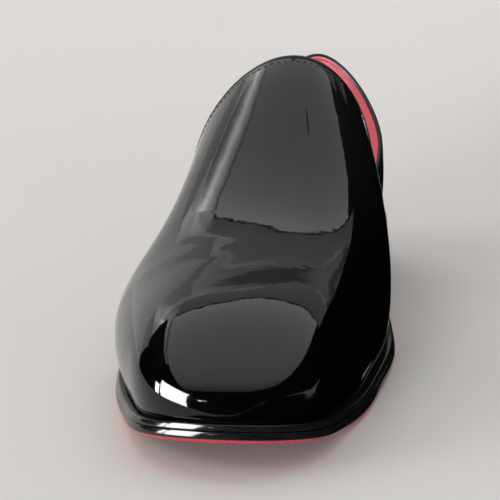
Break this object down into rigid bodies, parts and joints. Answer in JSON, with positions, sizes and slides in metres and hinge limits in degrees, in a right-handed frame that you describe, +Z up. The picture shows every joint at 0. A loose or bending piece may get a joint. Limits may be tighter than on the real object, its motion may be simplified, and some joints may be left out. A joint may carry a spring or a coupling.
{
  "type": "slip-on shoe",
  "caption": "Low slip-on dress shoe for the right foot, plain black patent upper with a high throat, rolled collar edge, red lining, thin welted leather sole and low stacked heel.",
  "frame": {"origin": "on the floor under the middle of the shoe's bounding box", "axes": "+Y from toe to heel, +X towards the inner (medial) side, +Z up"},
  "size_m": [0.1066, 0.2982, 0.115],
  "materials": {
    "patent_leather": "mirror gloss black patent",
    "binding_leather": "satin black",
    "insole_leather": "smooth red",
    "welt_edge": "polished black edge",
    "outsole_leather": "black edge with a red underside",
    "heel_leather": "polished black stacked leather",
    "heel_rubber": "matt black"
  },
  "bodies": {
    "root": {"upper": "patent_leather", "collar_binding": "binding_leather", "insole": "insole_leather", "welt": "welt_edge", "outsole": "outsole_leather", "heel_block": "heel_leather", "heel_top_piece": "heel_rubber"}
  },
  "joints": []
}
